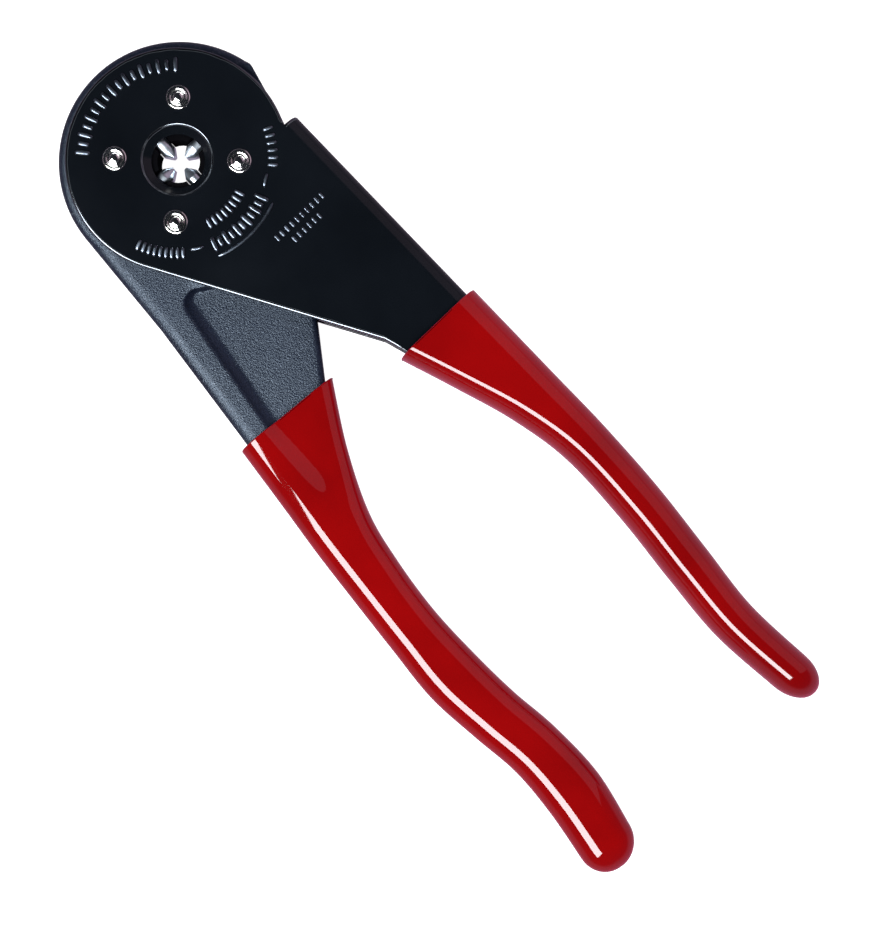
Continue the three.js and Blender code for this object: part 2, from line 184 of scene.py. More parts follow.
def skin(name, rings, closed=False, edge=None):
    """A mesh over rings of points: quads join each ring to the next, and every ring is closed on itself.

    A closed skin joins its last ring to its first; an open one ends in strips laid across its end rings,
    from point j to point m - 1 - j. Doubled points are merged, and the faces are turned to point out.
    """
    rings = np.asarray(rings, float)
    n, m = rings.shape[:2]
    index = np.arange(n * m).reshape(n, m)
    rows = np.vstack([index, index[:1]]) if closed else index
    a, b = rows[:-1], rows[1:]
    quads = np.stack([a, np.roll(a, -1, 1), np.roll(b, -1, 1), b], -1).reshape(-1, 4)
    if not closed:
        half = np.arange(m // 2 - 1)
        for ring, turned in ((index[0], False), (index[-1], True)):
            cap = np.stack([ring[half], ring[m - 1 - half], ring[m - 2 - half], ring[half + 1]], -1)
            quads = np.vstack([quads, cap[:, ::-1] if turned else cap])
    points = in_metres(rings.reshape(-1, 3))
    p = points[quads] - points.mean(0)
    volume = sum(np.einsum("ij,ij->", p[:, 0], np.cross(p[:, i], p[:, i + 1])) for i in (1, 2))
    if volume < 0:
        quads = quads[:, ::-1]
    mesh = bpy.data.meshes.new(name)
    mesh.from_pydata(points, [], quads.tolist())
    if edge is not None:
        wear_layer = mesh.attributes.new("edge", "FLOAT", "POINT")
        wear_layer.data.foreach_set("value", np.asarray(edge, np.float32).ravel())
    working = bmesh.new()
    working.from_mesh(mesh)
    bmesh.ops.remove_doubles(working, verts=working.verts, dist=2e-7)
    bmesh.ops.dissolve_degenerate(working, edges=working.edges, dist=1e-8)
    working.to_mesh(mesh)
    working.free()
    mesh.shade_smooth()
    mesh.set_sharp_from_angle(angle=np.radians(32))
    piece = bpy.data.objects.new(name, mesh)
    scene.collection.objects.link(piece)
    return piece


def stacked(plans, heights):
    """Rings from plan outlines, each raised to a height that is one number or one for every point."""
    return np.stack([np.column_stack([p, np.broadcast_to(z, len(p))]) for p, z in zip(plans, heights)])


head_arc = polar(HEAD_R, np.linspace(np.degrees(np.arctan2(FOLD_Y, SPINE_START)), 270 + LOWER_EDGE_DEG, 300))
lower_edge = line(head_arc[-1], HEEL, 120)
heel_edge = line(HEEL, (STEEL_END, 9.4), 24)
steel_end = line((STEEL_END, 9.4), (STEEL_END, FOLD_Y), 24)
fold_line = line((STEEL_END, FOLD_Y), head_arc[0], 100)
cheek_plan = np.vstack([head_arc[:-1], lower_edge, heel_edge, steel_end, fold_line])
open_end = len(head_arc) - 1 + len(lower_edge) + len(heel_edge)
# 1 along the blanked edge, and 0 at the fold and at the end inside the grip.
free_edge = np.interp(np.arange(len(cheek_plan)), [0, 3, open_end - 16, open_end], [0, 1, 1, 0])
cheek_angle = np.degrees(np.arctan2(cheek_plan[:, 1], cheek_plan[:, 0]))


def cheek(name, side):
    """A cheek as closed rings about the crimp axis, carried round its section.

    The rings run out over the inside face, round the blanked edge with a quarter circle at each corner,
    in over the outside face, and down the dished hole.
    """
    hole = polar(DISH_FLOOR, cheek_angle)
    plans, heights, worn = [hole], [CHEEK_IN], [0.0]
    for share in np.linspace(0, 1, 6)[1:]:
        plans.append(hole + share * (moved_in(cheek_plan, INNER_BREAK * free_edge) - hole))
        heights.append(CHEEK_IN)
        worn.append(0.0)
    for radius, base, sign in ((INNER_BREAK, CHEEK_IN, 1), (OUTER_BREAK, CHEEK_OUT, -1)):
        turn = np.radians(np.linspace(0, 90, 6))
        turn = turn if sign > 0 else turn[::-1]
        for angle in turn:
            plans.append(moved_in(cheek_plan, radius * free_edge * (1 - np.sin(angle))))
            heights.append(base + sign * radius * free_edge * (1 - np.cos(angle)))
            worn.append(free_edge if sign < 0 else 0.4 * free_edge)
    flat = moved_in(cheek_plan, OUTER_BREAK * free_edge)
    lip_r = DISH_RIM + 0.3
    lip = polar(lip_r, cheek_angle)
    for share in np.r_[0.005, 0.012, 0.025, 0.05, np.linspace(0.1, 1, 16)]:
        plans.append(flat + share * (lip - flat))
        heights.append(CHEEK_OUT)
        worn.append(free_edge * max(0, 1 - share / 0.03))
    for angle in np.radians(np.linspace(15, 60, 4)):
        plans.append(polar(lip_r - DISH_LIP * np.sin(angle), cheek_angle))
        heights.append(CHEEK_OUT - DISH_LIP * (1 - np.cos(angle)))
        worn.append(0.8)
    for share in np.linspace(0, 1, 6)[1:]:
        plans.append(polar(DISH_RIM - 0.13 + share * (DISH_FLOOR + 0.13 - DISH_RIM), cheek_angle))
        heights.append(CHEEK_OUT - 0.25 - share * (SHEET - 0.65))
        worn.append(0.5 if share > 0.9 else 0.0)
    rings = stacked(plans, [side * np.asarray(h) for h in heights])
    piece = skin(name, rings, closed=True, edge=np.stack([np.broadcast_to(w, len(cheek_plan)) for w in worn]))
    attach(piece, "frame")
    return piece


front_cheek = cheek("front_cheek", 1)
back_cheek = cheek("back_cheek", -1)
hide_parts("frame_channel")
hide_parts("frame_channel")


# ---- Finishes: how grain and rubbed edges are made ---- Every surface has a grain, a slow change of tone
# across it, and edges that handling has rubbed.
def group(name, inputs, outputs):
    """An empty shader node group with named number inputs and outputs, and its two end nodes."""
    tree = bpy.data.node_groups.new(name, "ShaderNodeTree")
    for label, value in inputs.items():
        tree.interface.new_socket(label, in_out="INPUT", socket_type="NodeSocketFloat").default_value = value
    for label in outputs:
        tree.interface.new_socket(label, in_out="OUTPUT", socket_type="NodeSocketFloat")
    return tree, tree.nodes.new("NodeGroupInput"), tree.nodes.new("NodeGroupOutput")


def wire(tree, kind, settings=None, **links):
    """One node, its sockets given by name, or as i0, i1 by number, each a number or another node's output."""
    node = tree.nodes.new(kind)
    for key, value in (settings or {}).items():
        setattr(node, key, value)
    for label, value in links.items():
        by_number = label[0] == "i" and label[1:].isdigit()
        socket = node.inputs[int(label[1:]) if by_number else label]
        if isinstance(value, bpy.types.NodeSocket):
            tree.links.new(value, socket)
        else:
            socket.default_value = value
    return node


def maths(tree, operation, *values):
    """The output of a Math node over numbers and outputs."""
    return wire(tree, "ShaderNodeMath", {"operation": operation},
                **{f"i{i}": v for i, v in enumerate(values)}).outputs[0]


# Grain: fine and coarse noise summed into a height, and a slow tone from 0 to 1.
grain, given, out = group("grain", {"Fine": 2500, "Coarse": 400, "Coarse share": 0.5, "Tone": 30},
                          ["Height", "Tone"])
spot = grain.nodes.new("ShaderNodeTexCoord").outputs["Object"]
fine = wire(grain, "ShaderNodeTexNoise", Vector=spot, Scale=given.outputs["Fine"], Detail=3.0).outputs[0]
coarse = wire(grain, "ShaderNodeTexNoise", Vector=spot, Scale=given.outputs["Coarse"], Detail=2.0).outputs[0]
tone = wire(grain, "ShaderNodeTexNoise", Vector=spot, Scale=given.outputs["Tone"], Detail=4.0).outputs[0]
left = maths(grain, "SUBTRACT", 1.0, given.outputs["Coarse share"])
height_sum = maths(grain, "ADD", maths(grain, "MULTIPLY", fine, left),
                   maths(grain, "MULTIPLY", coarse, given.outputs["Coarse share"]))
grain.links.new(height_sum, out.inputs["Height"])
grain.links.new(tone, out.inputs["Tone"])

# Rub: the piece's own edge attribute, broken up by noise, for paint or oxide worn off corners.
rub, given, out = group("rub", {"Amount": 0.5, "Patch": 300}, ["Mask"])
worn_edge = wire(rub, "ShaderNodeAttribute", {"attribute_name": "edge"}).outputs["Fac"]
spot = rub.nodes.new("ShaderNodeTexCoord").outputs["Object"]
patch = wire(rub, "ShaderNodeTexNoise", Vector=spot, Scale=given.outputs["Patch"], Detail=5.0).outputs[0]
bite = maths(rub, "SUBTRACT", maths(rub, "ADD", worn_edge, patch),
             maths(rub, "SUBTRACT", 1.5, given.outputs["Amount"]))
mask = wire(rub, "ShaderNodeMath", {"operation": "MULTIPLY", "use_clamp": True}, i0=bite, i1=4.0)
rub.links.new(mask.outputs[0], out.inputs["Mask"])


def finish(name, colour, worn_colour, roughness, metallic=0.0, bump=0.1, bump_mm=0.05, rub_amount=0.0,
           grain_sizes=(2500, 400, 0.5, 30), patch=300, speckle=0.0, contrast=0.17, constants=None):
    """A Principled material: its colour and roughness drift with the slow tone, its colour changes where an
    edge is rubbed, and its bump follows the grain. Sizes are grains per metre; constants are set on the shader.

    speckle is the grain's share in the drift of colour, and contrast is how far that drift goes each way."""
    material = bpy.data.materials.new(name)
    material.use_nodes = True
    tree = material.node_tree
    shader = tree.nodes["Principled BSDF"]
    for label, value in (constants or {}).items():
        shader.inputs[label].default_value = value
    texture = tree.nodes.new("ShaderNodeGroup")
    texture.node_tree = grain
    for label, value in zip(("Fine", "Coarse", "Coarse share", "Tone"), grain_sizes):
        texture.inputs[label].default_value = value
    wear = tree.nodes.new("ShaderNodeGroup")
    wear.node_tree = rub
    wear.inputs["Amount"].default_value = rub_amount
    wear.inputs["Patch"].default_value = patch
    mottle = maths(tree, "ADD", maths(tree, "MULTIPLY", texture.outputs["Tone"], 1 - speckle),
                   maths(tree, "MULTIPLY", texture.outputs["Height"], speckle))
    drift = wire(tree, "ShaderNodeMapRange", Value=mottle)
    drift.inputs["From Min"].default_value, drift.inputs["From Max"].default_value = 0.3, 0.7
    light, dark = ([min(1, c * share) for c in colour] + [1] for share in (1 + contrast, 1 - contrast))
    base = wire(tree, "ShaderNodeMix", {"data_type": "RGBA"}, Factor=drift.outputs[0])
    base.inputs[6].default_value, base.inputs[7].default_value = dark, light
    worn = wire(tree, "ShaderNodeMix", {"data_type": "RGBA"}, Factor=wear.outputs["Mask"])
    tree.links.new(base.outputs[2], worn.inputs[6])
    worn.inputs[7].default_value = [*worn_colour, 1]
    tree.links.new(worn.outputs[2], shader.inputs["Base Color"])
    rough = wire(tree, "ShaderNodeMapRange", Value=texture.outputs["Tone"])
    for label, value in (("From Min", 0.3), ("From Max", 0.7), ("To Min", roughness[0]), ("To Max", roughness[1])):
        rough.inputs[label].default_value = value
    tree.links.new(rough.outputs[0], shader.inputs["Roughness"])
    if metallic:
        shader.inputs["Metallic"].default_value = metallic
    elif rub_amount:
        tree.links.new(wear.outputs["Mask"], shader.inputs["Metallic"])
    relief = wire(tree, "ShaderNodeBump", Strength=bump, Distance=bump_mm / 1000, Height=texture.outputs["Height"])
    tree.links.new(relief.outputs[0], shader.inputs["Normal"])
    return material


frame_black = finish("frame_black", (0.0022, 0.003, 0.0042), (0.13, 0.145, 0.16), (0.1, 0.16), bump=0.2,
                     bump_mm=0.02, rub_amount=0.45, grain_sizes=(1600, 500, 0.4, 45),
                     constants={"Specular IOR Level": 0.28})
for piece in (front_cheek, back_cheek):
    piece.data.materials.append(frame_black)

# ---- Folded frame: the spine ----
# The back of the channel, where the sheet turns from one cheek to the other through two round folds.
# Its end beside the head is a sheared edge.
SHEAR_BREAK = 0.45                  # how far the sheared edge's corners are broken
flat_half = CHEEK_OUT - FOLD_R      # half the flat between the folds
turn = np.radians(np.linspace(0, 90, 13))


def fold_section(inset):
    """The channel's section from cheek to cheek, outside then inside, thinned by an inset all round."""
    across = np.linspace(flat_half, -flat_half, 9)[1:-1]
    outside = np.r_[np.column_stack([FOLD_Y + (FOLD_R - inset) * np.sin(turn),
                                     flat_half + (FOLD_R - inset) * np.cos(turn)]),
                    np.column_stack([np.full(7, SPINE_Y - inset), across])]
    inner_r = FOLD_R - SHEET + inset
    inside = np.r_[np.column_stack([FOLD_Y + inner_r * np.sin(turn), flat_half + inner_r * np.cos(turn)]),
                   np.column_stack([np.full(7, FOLD_Y + inner_r), across])]
    mirrored = [np.vstack([half, half[len(turn) - 1::-1] * (1, -1)]) for half in (outside, inside)]
    return np.vstack([mirrored[0], mirrored[1][::-1]])


rings, worn = [], []
for angle in np.radians(np.linspace(0, 90, 6)):
    section = fold_section(SHEAR_BREAK * (1 - np.sin(angle)))
    x = SPINE_START + SHEAR_BREAK * (1 - np.cos(angle))
    rings.append(np.column_stack([np.full(len(section), x), section]))
    worn.append(np.ones(len(section)))
for x in np.linspace(SPINE_START + 1.2, STEEL_END, 60):
    section = fold_section(0)
    rings.append(np.column_stack([np.full(len(section), x), section]))
    worn.append(np.full(len(section), 0.25))
spine = skin("spine", rings, edge=np.stack(worn))
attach(spine, "frame")
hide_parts("frame_channel")
spine.data.materials.append(frame_black)

# ---- Raised marks ----
# Plain raised ticks and bars pressed up in the front cheek and rubbed bright: an arc of ticks round the
# head, a shorter arc with a rib under it beside the neck, and two short rows on the neck. They spell nothing.
MARK_H = 0.55                       # how far a mark stands off the cheek
ROW_STEP = 1.75                     # from bar to bar in the two rows
mark_steel = finish("mark_steel", (0.16, 0.19, 0.23), (0.16, 0.19, 0.23), (0.22, 0.36), metallic=1.0, bump=0.3,
                    bump_mm=0.02, grain_sizes=(2600, 900, 0.5, 200))


def pillow(centre, turn_deg, length, width, height=MARK_H):
    """A low bar on the cheek: a superellipse in plan whose rings close in as they rise to a soft crown."""
    around = np.radians(np.arange(0, 360, 10) + 5)
    square = np.column_stack([np.sign(np.cos(around)) * np.abs(np.cos(around)) ** 0.6 * length / 2,
                              np.sign(np.sin(around)) * np.abs(np.sin(around)) ** 0.6 * width / 2])
    spin = np.radians(turn_deg)
    turned = square @ np.array([[np.cos(spin), np.sin(spin)], [-np.sin(spin), np.cos(spin)]])
    shrink = width / 2 / max(width, length)
    lift = [(1.0, -0.3), (1.0, 0.0), (0.97, 0.35), (0.88, 0.7), (0.72, 0.92), (0.45, 1.0), (0.02, 1.02)]
    return np.stack([np.column_stack([centre + turned * share, np.full(len(around), CHEEK_OUT + height * z)])
                     for share, z in lift])


def mark(name, rings):
    """One raised mark of the front cheek."""
    piece = skin(name, rings)
    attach(piece, "frame")
    piece.data.materials.append(mark_steel)


def mark_arc(name, radius, from_deg, to_deg, count, length, width, pattern=(1.0,)):
    """Ticks on an arc about the crimp axis, each pointing outwards, in a repeating pattern of lengths."""
    for i, angle in enumerate(np.linspace(from_deg, to_deg, count)):
        long = length * pattern[i % len(pattern)]
        mark(f"{name}_{i + 1}", pillow(polar(radius, angle), angle, long, width))


mark_arc("head_tick", 24.3, 137, 222, 17, 4.0, 1.2, (1.0, 0.75))
mark_arc("spine_tick", 24.6, 43, 65, 6, 2.8, 1.0)
mark_arc("neck_tick", 23.7, -20, 22, 11, 4.1, 1.2, (1.0, 0.7))
mark_arc("inner_tick", 18.2, -17, 18, 8, 3.1, 1.0)
mark_arc("low_tick", 24.0, -68, -40, 9, 3.0, 1.0)
for i, angle in enumerate((-31, 33)):
    mark(f"dash_{i + 1}", pillow(polar(23.3, angle), angle + 90, 3.6, 0.9))
for row, (x, low_y, count) in enumerate(((32.3, 4.6, 10), (35.6, 7.6, 6))):
    for i in range(count):
        mark(f"row_{row + 1}_{i + 1}", pillow(np.array([x, low_y + ROW_STEP * i]), 0, 2.1, 0.8, 0.3))

# The rib: a half-round bead on an arc, fading into the cheek at both ends.
RIB_FROM, RIB_TO, RIB_R = -21, 22, 26.9
sweep = np.linspace(RIB_FROM, RIB_TO, 90)
swell = 0.34 * np.minimum(1, np.minimum(sweep - RIB_FROM, RIB_TO - sweep) / 3) ** 0.5 + 0.02
around = np.radians(np.arange(0, 360, 24))
rings = [np.column_stack([polar(RIB_R + s * 1.2 * np.cos(around), np.full(len(around), a)),
                          CHEEK_OUT + s * np.sin(around)]) for a, s in zip(sweep, swell)]
mark("arc_rib", rings)

# ---- Rivets ----
# Four nickelled tubular rivets through both cheeks and the guide blocks. Each end has a domed middle, a
# rolled ring round it and a thin outer rim, with flats between them.
RIVET_CIRCLE_R, SHANK_R = 16.0, 2.1
# The rolled end's section: radius, and height off the cheek.
head_profile = np.array([(0.02, 0.9), (0.35, 0.89), (0.7, 0.85), (1.0, 0.76), (1.22, 0.64), (1.34, 0.45),
                         (1.4, 0.22), (1.5, 0.17), (1.7, 0.17), (1.78, 0.28), (1.84, 0.52), (1.94, 0.66),
                         (2.04, 0.7), (2.14, 0.66), (2.24, 0.52), (2.3, 0.28), (2.38, 0.17), (2.76, 0.17),
                         (2.82, 0.27), (2.92, 0.34), (3.02, 0.3), (3.1, 0.2), (3.15, 0.0)])
nickel = finish("bright_nickel", (0.9, 0.9, 0.85), (0.9, 0.9, 0.85), (0.07, 0.11), metallic=1.0, bump=0.01,
                bump_mm=0.01, grain_sizes=(1500, 500, 0.6, 200))
for i in range(4):
    spin = np.radians(np.arange(0, 360, 5))
    upper = head_profile + (0, CHEEK_OUT)
    profile = np.vstack([upper, (SHANK_R, CHEEK_OUT), (SHANK_R, -CHEEK_OUT), upper[::-1] * (1, -1)])
    centre = polar(RIVET_CIRCLE_R, 45 + 90 * i)
    rings = np.stack([np.column_stack([centre[0] + r * np.cos(spin), centre[1] + r * np.sin(spin),
                                       np.full(len(spin), z)]) for r, z in profile])
    rivet = skin(f"rolled_rivet_{i + 1}", rings)
    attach(rivet, "frame")
    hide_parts(f"rivet_{i + 1}")
    rivet.data.materials.append(nickel)

# ---- Indenters ----
# Four hardened bars that slide in towards the bore: ground bright, with a long bevel down each side of a
# narrow top and a tip that slopes away to the nose that makes the dent.
TIP_R, TAIL_R = 2.15, 20.85         # the nose, and where the round tail begins
NOSE_HALF, BAR_HALF = 0.45, 1.9     # half widths
NOSE_TOP, BAR_TOP = 2.2, 3.7        # half heights
ground = finish("ground_steel", (0.7, 0.78, 0.84), (0.78, 0.82, 0.85), (0.26, 0.38), metallic=1.0, bump=0.12,
                bump_mm=0.02, grain_sizes=(4000, 1200, 0.5, 500))
for i in range(4):
    along = np.r_[TIP_R, np.linspace(TIP_R + 0.05, 6.4, 24), 9.0, 14.0, TAIL_R, 21.6, 22.2, 22.6]
    half = np.minimum(BAR_HALF, NOSE_HALF + (along - TIP_R) * np.tan(np.radians(36)))
    half = np.minimum(half, np.sqrt(np.maximum(0.02, BAR_HALF**2 - np.maximum(0, along - TAIL_R) ** 2)))
    top = np.minimum(BAR_TOP, NOSE_TOP + (along - TIP_R) * 0.5)
    crown = np.array([-1, -0.95, -0.64, -0.56, -0.28, 0, 0.28, 0.56, 0.64, 0.95, 1])
    drop = np.array([0.9, 0.85, 0.2, 0.13, 0.03, 0, 0.03, 0.13, 0.2, 0.85, 0.9])
    upper = np.stack([np.column_stack([np.full(len(crown), x), crown * h, t - drop * h])
                      for x, h, t in zip(along, half, top)])
    rings = np.concatenate([upper, upper[:, ::-1] * (1, 1, -1)], 1)
    spin = np.radians(90 * i)
    rings[..., :2] = rings[..., :2] @ np.array([[np.cos(spin), np.sin(spin)], [-np.sin(spin), np.cos(spin)]])
    bar = skin(f"dent_bar_{i + 1}", rings)
    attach(bar, f"indenter_{i + 1}")
    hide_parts(f"indenter_{i + 1}")
    bar.data.materials.append(ground)

# ---- Guide blocks and return springs ----
# Four blackened blocks that fill the ring between the bars, and the small coil springs beside the bars. Both
# keep the shapes that they have in the frame, and only take a finish here.
block_black = finish("block_black", (0.002, 0.002, 0.0025), (0.2, 0.2, 0.21), (0.5, 0.7), bump=0.2,
                     bump_mm=0.02, grain_sizes=(2500, 700, 0.5, 120), constants={"Specular IOR Level": 0.0})
music_wire = finish("music_wire", (0.45, 0.46, 0.48), (0.6, 0.6, 0.6), (0.2, 0.35), metallic=1.0, bump=0.1,
                    bump_mm=0.01, grain_sizes=(5000, 1500, 0.5, 400))
for i in range(4):
    for node, material in ((f"guide_block_{i + 1}", block_black), (f"return_spring_{i + 1}", music_wire)):
        carried = frame["nodes"][node]
        carried.data.materials.clear()
        carried.data.materials.append(material)

# ---- Lever: the ring ----
# The forged end of the lever: a ring that turns on the guide blocks between the cheeks. Four rising lobes
# inside it drive the bars, and a flat on its rim meets the end of the spine when the tool is wide open.
RING_R, LEVER_Z, NECK_R = 31.33, 4.0, 27.2
EDGE_DEG = 4.4
STOP_FLAT, FLAT_DEG = 28.5, 75.3
NECK_DEG = 57.3                       # where the straight neck leaves the ring
WEB_SIDE_DEG = 15.4                   # where the arm's hollow meets the neck
CAM_R, CAM_RISE, CAM_SPAN = 22.9, 0.095, 25   # a lobe's foot, its rise in mm a degree, and its sweep
LAND_R = 21.7                         # inside radius between the lobes

# The rim by angle: the neck's side, the neck, the stop flat, the round, a hair's step in where the arm joins,
# and a run down to the part that the cheek hides.
theta = np.linspace(WEB_SIDE_DEG, WEB_SIDE_DEG + 360, 960, endpoint=False)
rim = np.select(
    [theta < NECK_DEG, theta < 84, theta < 101, theta < 268, theta < 282, theta < 300],
    [np.minimum(33, NECK_R / np.cos(np.radians(NECK_DEG - theta))), NECK_R,
     STOP_FLAT / np.cos(np.radians(theta - FLAT_DEG)), RING_R, RING_R - 0.08,
     RING_R - 0.08 - (theta - 282) / 18 * 2.4], 28.8)
near_flat = (theta > 86) & (theta < 110)     # the flat's far corner is rounded
blur = np.convolve(np.r_[rim[-6:], rim, rim[:6]], np.ones(13) / 13, "valid")
rim = np.where(near_flat, blur, rim)
cam_turn = (theta + 12) % 90 - 12
cam = np.select([cam_turn < CAM_SPAN, cam_turn < CAM_SPAN + 14],
                [CAM_R + CAM_RISE * cam_turn, CAM_R + CAM_RISE * CAM_SPAN], LAND_R)
# How far the rim's corners are rounded, and how far the top lies under the arm's.
soften = np.interp(theta, [15, 100, 103, 290, 300, 375], [0.5, 0.5, 2.2, 2.2, 0.5, 0.5])
sink = np.interp(theta, [15, 262, 270, 375], [0, 0, 0.04, 0.04])
rings, worn = [], []
for z in (0.0, 0.5, 1.0):
    rings.append((rim, (LEVER_Z - soften) * z))
    worn.append(0.3)
for angle in np.radians(np.linspace(0, 90, 9))[1:]:
    rings.append((rim - soften * (1 - np.cos(angle)), LEVER_Z - soften + soften * np.sin(angle) - sink))
    worn.append(0.5)
for share in np.linspace(0, 1, 5)[1:]:
    rings.append((rim - soften + share * (cam + 0.3 - rim + soften), LEVER_Z - sink))
    worn.append(0.0)
rings.append((cam, LEVER_Z - 0.3 - sink))
worn.append(0.0)
half_rings = np.stack([np.column_stack([polar(r, theta), np.broadcast_to(z, len(theta))]) for r, z in rings])
whole = np.concatenate([half_rings, half_rings[:0:-1] * (1, 1, -1)])
ring_wear = np.broadcast_to(np.r_[worn, worn[:0:-1]][:, None], whole.shape[:2])
lever_ring = skin("lever_ring", whole, closed=True, edge=ring_wear)

# ---- Lever: the arm ----
# The rest of the forging: a thick rib down the outer edge, a thin web beside it, and a wide round-bottomed
# groove that parts them and curls round under the cheek where the rib meets the ring.
GROOVE_W, CORNER_R, HOLLOW_R = 3.4, 3.9, 33.0
WEB_Z, EDGE_R, INNER_R = 2.0, 2.2, 1.7
LEVER_OUTER = [(65, -38.1), (83, -40.4), (98, -42.4)]
LEVER_INNER = [(67, -12.3), (83, -22.1), (99, -29.7)]
WEB_CORNER = np.array([54.7, -3.1])

KNEE_X = 28.0
tangent = polar(RING_R, 270 - EDGE_DEG)
knee = np.array([KNEE_X, tangent[1] - (KNEE_X - tangent[0]) * np.tan(np.radians(EDGE_DEG))])
outer_x, outer_y = np.vstack([tangent, knee, smooth_through(LEVER_OUTER, 8)]).T


def outer_edge(x):
    """Height of the lever's outer edge at x: straight from the ring to a knee, straight to the grip, curved on."""
    return np.column_stack([x, np.interp(x, outer_x, outer_y)])


GROOVE_X, RIB_W = 23.33, 8.9           # a place along the rib, and the rib's width there
groove_a = np.array([GROOVE_X, np.interp(GROOVE_X, outer_x, outer_y) + RIB_W])
groove_b = np.array([65.0, -31.0])
run = (groove_b - groove_a) / np.linalg.norm(groove_b - groove_a)
rise = np.array([-run[1], run[0]])
start = groove_a + rise * CORNER_R
reach = -start @ run + np.sqrt((start @ run) ** 2 - start @ start + (HOLLOW_R + CORNER_R) ** 2)
corner = start + run * reach
corner_deg = np.degrees(np.arctan2(corner[1], corner[0]))
rise_deg = np.degrees(np.arctan2(rise[1], rise[0]))
RUN, CURL, ROUND = 150, 42, 70         # points beside the rib, round the corner and round the ring
straight = np.linspace(STEEL_END, corner[0] - rise[0] * CORNER_R, RUN)
curl = np.linspace(rise_deg - 180, corner_deg - 180, CURL + 2)[1:-1]
round_ring = np.linspace(corner_deg, WEB_SIDE_DEG, ROUND)


def groove_line(depth):
    """The groove's top edge moved into the hollow by a depth: a straight run beside the rib, a round corner
    and a circle about the ring."""
    on_run = groove_a + (straight[:, None] - groove_a[0]) / run[0] * run + rise * depth
    on_curl = corner + polar(CORNER_R - depth * np.linspace(1, 0.35, len(curl)), curl)
    on_ring = polar(HOLLOW_R + 0.35 * depth, round_ring)
    return np.vstack([on_run, on_curl, on_ring])


def spread(points, count):
    """The same open line with evenly spaced points."""
    points = np.asarray(points, float)
    length = np.r_[0, np.cumsum(np.linalg.norm(np.diff(points, axis=0), axis=1))]
    at = np.linspace(0, length[-1], count)
    return np.column_stack([np.interp(at, length, points[:, k]) for k in (0, 1)])


JOIN_R, JOIN_DEG = 27.0, 252          # where the arm ends inside the ring
neck_end = polar(HOLLOW_R + GROOVE_W, WEB_SIDE_DEG)
inner_curve = smooth_through(LEVER_INNER, 12)
inner_run = inner_curve[inner_curve[:, 0] < STEEL_END][::-1]
outer_line = np.vstack([
    outer_edge(straight),
    outer_edge(np.linspace(straight[-1], tangent[0], CURL + 2)[1:-1]),
    polar(np.linspace(RING_R, RING_R - 0.5, 14), np.linspace(270 - EDGE_DEG, JOIN_DEG, 14)),
    spread([polar(RING_R - 0.5, JOIN_DEG), polar(JOIN_R, JOIN_DEG)], 6)[1:],
    polar(JOIN_R, np.linspace(JOIN_DEG - 360, WEB_SIDE_DEG, 52)[1:])])
inner_line = np.vstack([
    spread(np.vstack([inner_run, WEB_CORNER]), RUN),
    spread(np.vstack([WEB_CORNER, neck_end]), CURL + ROUND)])


def shifted(points, distance):
    """An open line moved to its own left."""
    along = np.gradient(points, axis=0)
    along /= np.maximum(1e-9, np.linalg.norm(along, axis=1))[:, None]
    return points + np.column_stack([-along[:, 1], along[:, 0]]) * np.broadcast_to(distance, len(points))[:, None]


count = len(outer_line)
at_ring = RUN + CURL                  # the first point on the ring
in_ring = np.arange(count) >= at_ring + 13
# How far the arm's top dips where its edge passes into the ring.
fade = np.interp(np.arange(count), [at_ring, at_ring + 14, at_ring + 22, at_ring + 32, count],
                 [0, 0.25, 0.25, 0, 0])
edge_round = np.where(in_ring, 0.02, EDGE_R)
crest_line = shifted(outer_line, -1.6 * edge_round)
web_line = groove_line(GROOVE_W)
web_end = shifted(inner_line, np.interp(np.arange(count), [0, RUN, count - 30, count],
                                        [INNER_R, INNER_R, 0.6, 0.0]))
rows, worn = [], []
for share in (0, 0.5, 1.0):
    rows.append((outer_line, (LEVER_Z - fade - edge_round) * share))
    worn.append(0.3)
for angle in np.radians(np.linspace(0, 90, 9))[1:]:
    rows.append((outer_line + (crest_line - outer_line) * (1 - np.cos(angle)),
                 LEVER_Z - fade - edge_round + edge_round * np.sin(angle)))
    worn.append(0.55)
LIP_R, LIP_DEG = 0.9, 40               # the rounding at the groove's top edge
lip_line = groove_line(-0.5)
for share in np.linspace(0, 1, 9)[1:]:
    rows.append((crest_line + share * (lip_line - crest_line), LEVER_Z - fade * (1 - share)))
    worn.append(0.1)
for angle in np.radians((LIP_DEG / 2, LIP_DEG)):
    rows.append((groove_line(-0.5 + LIP_R * np.sin(angle)), LEVER_Z - LIP_R * (1 - np.cos(angle))))
    worn.append(0.5)
low = LEVER_Z - LIP_R * (1 - np.cos(np.radians(LIP_DEG)))
for share in np.linspace(0.08, 1, 12):
    d = 0.08 + share * (GROOVE_W - 0.08)
    rows.append((groove_line(d), WEB_Z + (low - WEB_Z) * (1 - share) ** 2.1))
    worn.append(0.0)
for share in np.linspace(0, 1, 10)[1:]:
    rows.append((web_line + share * (web_end - web_line), WEB_Z))
    worn.append(0.0)
for angle in np.radians(np.linspace(0, 90, 8))[1:]:
    rows.append((web_end + (inner_line - web_end) * np.sin(angle), WEB_Z - 1.3 * (1 - np.cos(angle))))
    worn.append(0.4)
rows.append((inner_line, np.zeros(count)))
worn.append(0.2)
top_rows = np.stack([np.column_stack([p, np.broadcast_to(z, count)]) for p, z in rows])
arm_rings = np.concatenate([top_rows, top_rows[-2:0:-1] * (1, 1, -1)]).transpose(1, 0, 2)
arm_wear = np.broadcast_to(np.r_[worn, worn[-2:0:-1]], arm_rings.shape[:2])
lever_arm = skin("lever_arm", arm_rings, edge=arm_wear)
